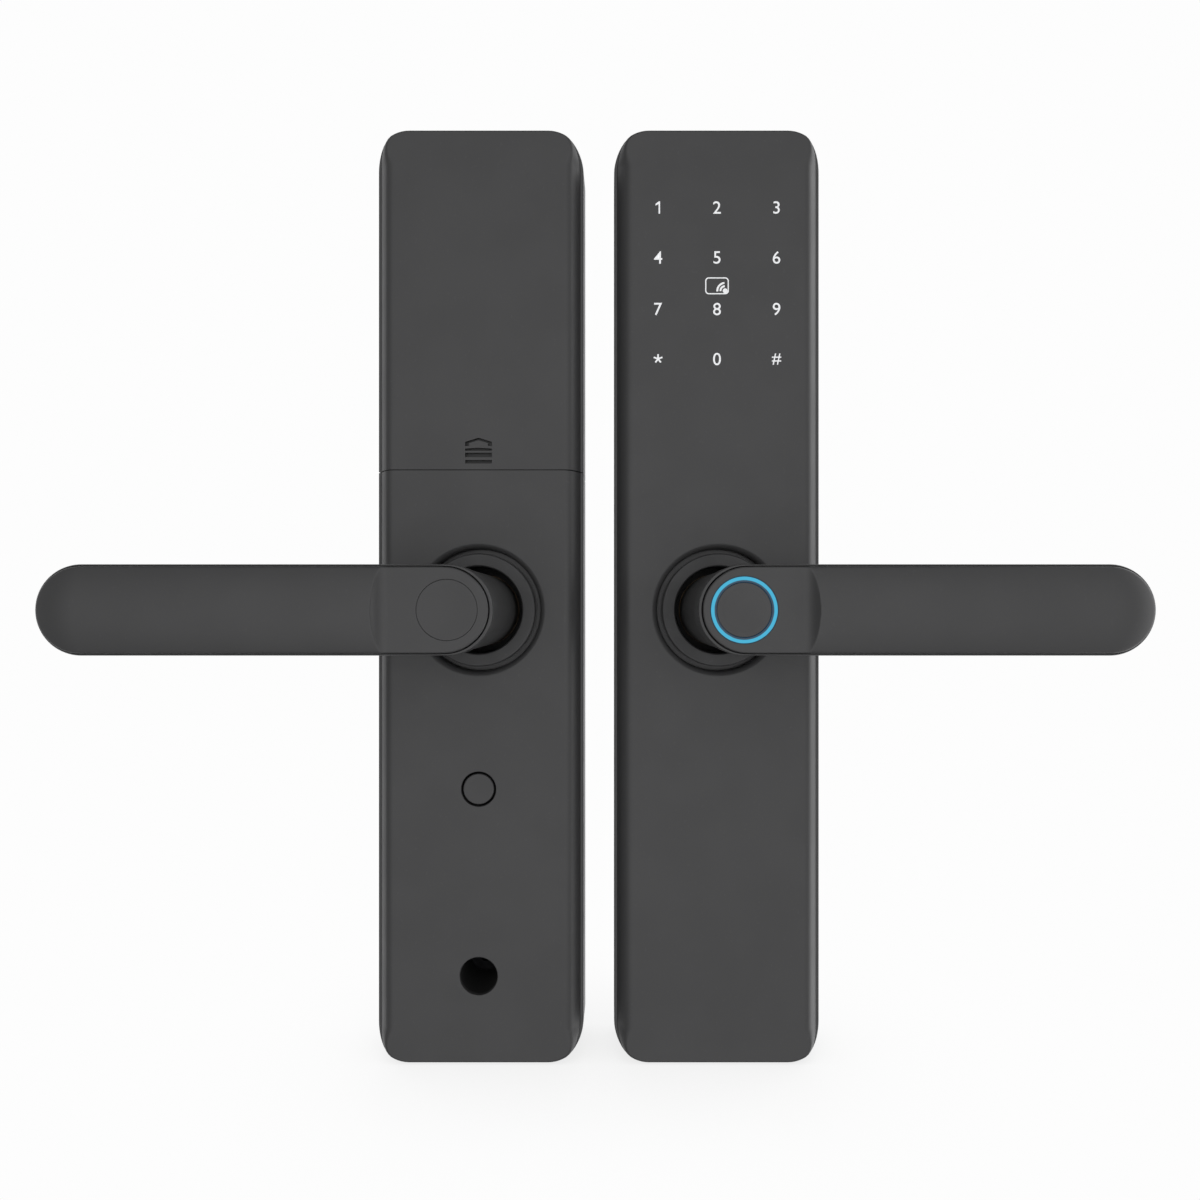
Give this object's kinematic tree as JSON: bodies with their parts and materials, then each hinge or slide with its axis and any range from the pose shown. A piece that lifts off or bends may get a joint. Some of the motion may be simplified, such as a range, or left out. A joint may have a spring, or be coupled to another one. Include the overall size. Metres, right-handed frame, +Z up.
{
  "type": "keypad smart lock",
  "caption": "Door lock pair: slim outside unit with touch keypad and fingerprint lever, matching inside unit with sliding battery cover, plain lever and button.",
  "frame": {"origin": "the outside lever's axis where it meets the door face, on the outside unit's gasket plane", "axes": "+X to the right seen from the front, along the outside lever; +Y into the door; +Z up, along the units"},
  "size_m": [0.2844, 0.0996, 0.2935],
  "materials": {
    "powder_coat": "matt",
    "lever_coat": "matt",
    "ring_coat": "matt",
    "black_plastic": "moulded",
    "white_legend": "printed",
    "diffuser": "frosted",
    "circuit_board": "solder mask",
    "copper": "plain",
    "zinc_steel": "zinc plated",
    "black_steel": "black oxide",
    "bright_steel": "satin",
    "spring_steel": "satin",
    "bearing_bronze": "sintered",
    "rubber": "matt",
    "sensor_glass": "satin",
    "blue_light": "lit",
    "flat_cable": "polyimide",
    "cell_wrap": "shrink sleeve"
  },
  "bodies": {
    "units": {"outside_housing": "powder_coat", "outside_rose_ring": "ring_coat", "outside_hub_bush": "bearing_bronze", "keypad_legends": "white_legend", "light_diffuser": "diffuser", "touch_board": "circuit_board", "card_antenna": "copper", "control_board": "circuit_board", "speaker": "black_plastic", "usb_port": "bright_steel", "outside_board_screws": "bright_steel", "outside_back_plate": "zinc_steel", "outside_back_screws": "bright_steel", "outside_gasket": "rubber", "mounting_posts": "zinc_steel", "outside_return_spring": "spring_steel", "clutch_motor": "bright_steel", "inside_housing": "powder_coat", "inside_rose_ring": "ring_coat", "inside_hub_bush": "bearing_bronze", "battery_tray": "black_plastic", "batteries": "cell_wrap", "battery_springs": "spring_steel", "battery_contacts": "bright_steel", "inside_control_board": "circuit_board", "board_lid": "black_plastic", "button_board": "circuit_board", "inside_board_screws": "bright_steel", "cover_catch": "spring_steel", "inside_mount_plate": "zinc_steel", "inside_gasket": "rubber", "through_bolts": "black_steel", "inside_return_spring": "spring_steel"},
    "outside_lever": {"outside_lever_body": "lever_coat", "outside_lever_front": "lever_coat", "fingerprint_sensor": "sensor_glass", "fingerprint_light_ring": "blue_light", "fingerprint_board": "circuit_board", "fingerprint_cable": "flat_cable", "outside_circlip": "spring_steel", "clutch_driver": "bright_steel"},
    "outside_spindle": {"outside_spindle": "bright_steel", "clutch_hub": "bearing_bronze"},
    "clutch_pin": {"clutch_pin": "bright_steel"},
    "clutch_fork": {"clutch_fork": "black_plastic"},
    "clutch_screw": {"clutch_screw": "bright_steel"},
    "inside_lever": {"inside_lever_body": "lever_coat", "inside_lever_front": "lever_coat", "inside_lever_cap": "lever_coat", "inside_circlip": "spring_steel", "inside_spindle": "bright_steel"},
    "battery_cover": {"battery_cover": "powder_coat"},
    "privacy_button": {"privacy_button": "powder_coat"}
  },
  "joints": [
    {"name": "outside_lever_turn", "type": "hinge", "parent": "units", "child": "outside_lever", "pos_m": [0, 0, 0], "axis": [0, 1, 0], "range_deg": [-45, 45], "stiffness_Nm_per_rad": 2, "springref_deg": -3.44},
    {"name": "outside_spindle_turn", "type": "hinge", "parent": "units", "child": "outside_spindle", "pos_m": [0, 0, 0], "axis": [0, 1, 0], "range_deg": [-45, 45]},
    {"name": "inside_lever_turn", "type": "hinge", "parent": "units", "child": "inside_lever", "pos_m": [-0.0754, 0, 0], "axis": [0, -1, 0], "range_deg": [-45, 45], "stiffness_Nm_per_rad": 2, "springref_deg": -3.44},
    {"name": "battery_cover_slide", "type": "slide", "parent": "units", "child": "battery_cover", "axis": [0, 0, 1], "range_m": [0, 0.112]},
    {"name": "privacy_button_press", "type": "slide", "parent": "units", "child": "privacy_button", "axis": [0, 1, 0], "range_m": [0, 0.0012], "stiffness_N_per_m": 800},
    {"name": "clutch_screw_turn", "type": "hinge", "parent": "units", "child": "clutch_screw", "pos_m": [0, -0.007, 0], "axis": [0, 0, 1], "range_deg": [0, 360]},
    {"name": "clutch_fork_slide", "type": "slide", "parent": "units", "child": "clutch_fork", "axis": [0, 0, 1], "range_m": [0, 0.002]},
    {"name": "clutch_pin_slide", "type": "slide", "parent": "outside_lever", "child": "clutch_pin", "axis": [0, 0, 1], "range_m": [0, 0.0013]}
  ],
  "couplings": [
    {"joint": "outside_spindle_turn", "follows": "outside_lever_turn", "ratio": 1},
    {"joint": "clutch_screw_turn", "follows": "clutch_fork_slide", "rad_per_m": 3141.5},
    {"joint": "clutch_pin_slide", "follows": "clutch_fork_slide", "ratio": 0.65}
  ]
}
